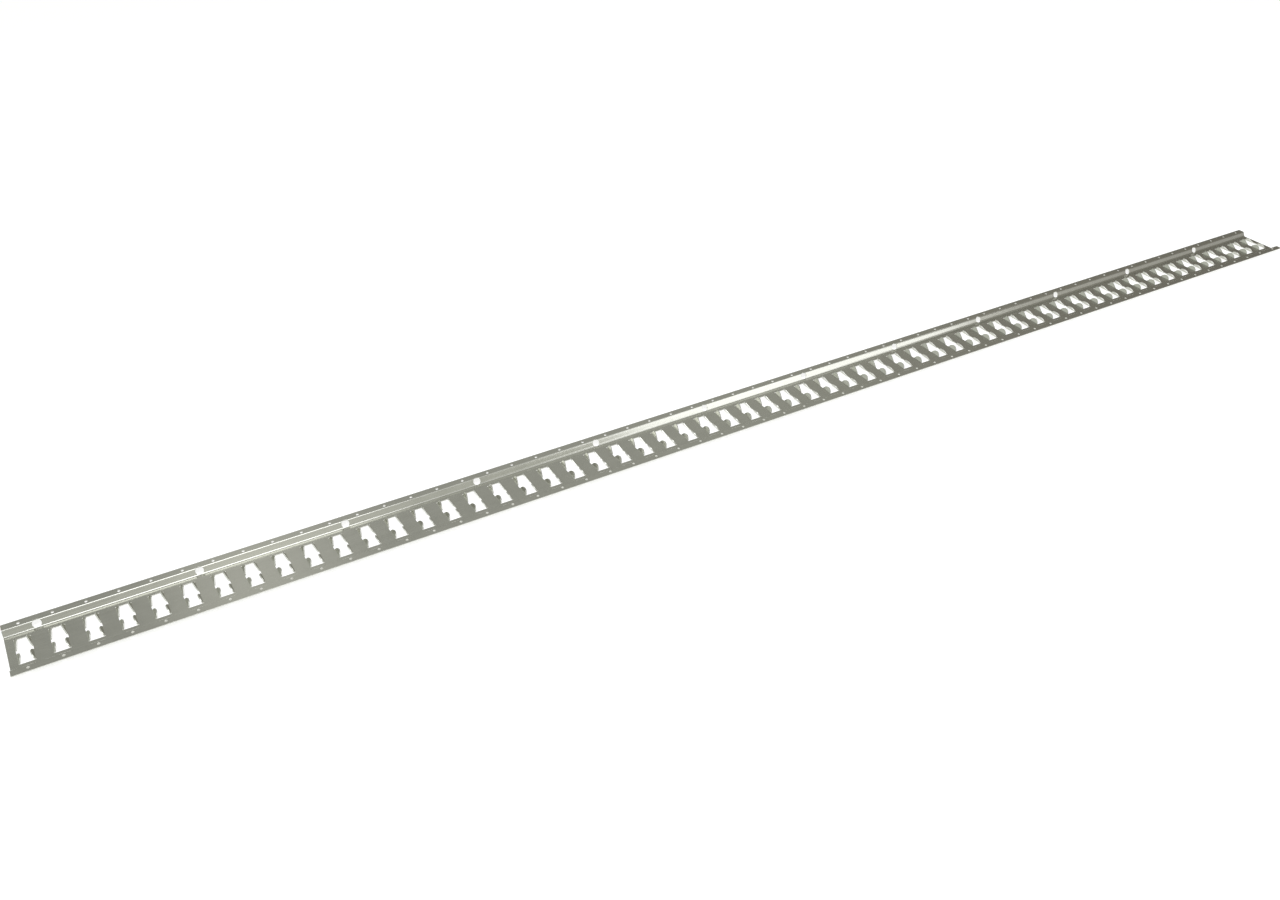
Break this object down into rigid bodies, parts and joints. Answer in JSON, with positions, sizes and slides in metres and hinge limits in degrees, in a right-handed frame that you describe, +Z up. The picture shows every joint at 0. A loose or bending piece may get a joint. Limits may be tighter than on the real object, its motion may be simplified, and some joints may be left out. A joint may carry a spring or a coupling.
{
  "type": "combination lashing rail",
  "caption": "Shallow hat-section steel rail with a row of lipped slots for lashing fittings, fixing holes along both flanges and large holes in one side wall.",
  "frame": {"origin": "under the middle of the rail, on the plate's outer face, which lies on the floor", "axes": "+X along the rail, away from the end where the first large hole is; +Y across it, towards the side wall with the large holes; +Z up from the plate to the flanges"},
  "size_m": [3.048, 0.127, 0.0127],
  "materials": {
    "galvanised_steel": "satin zinc coating with fine lengthwise rolling lines"
  },
  "bodies": {
    "root": {"lashing_rail": "galvanised_steel"}
  },
  "joints": []
}
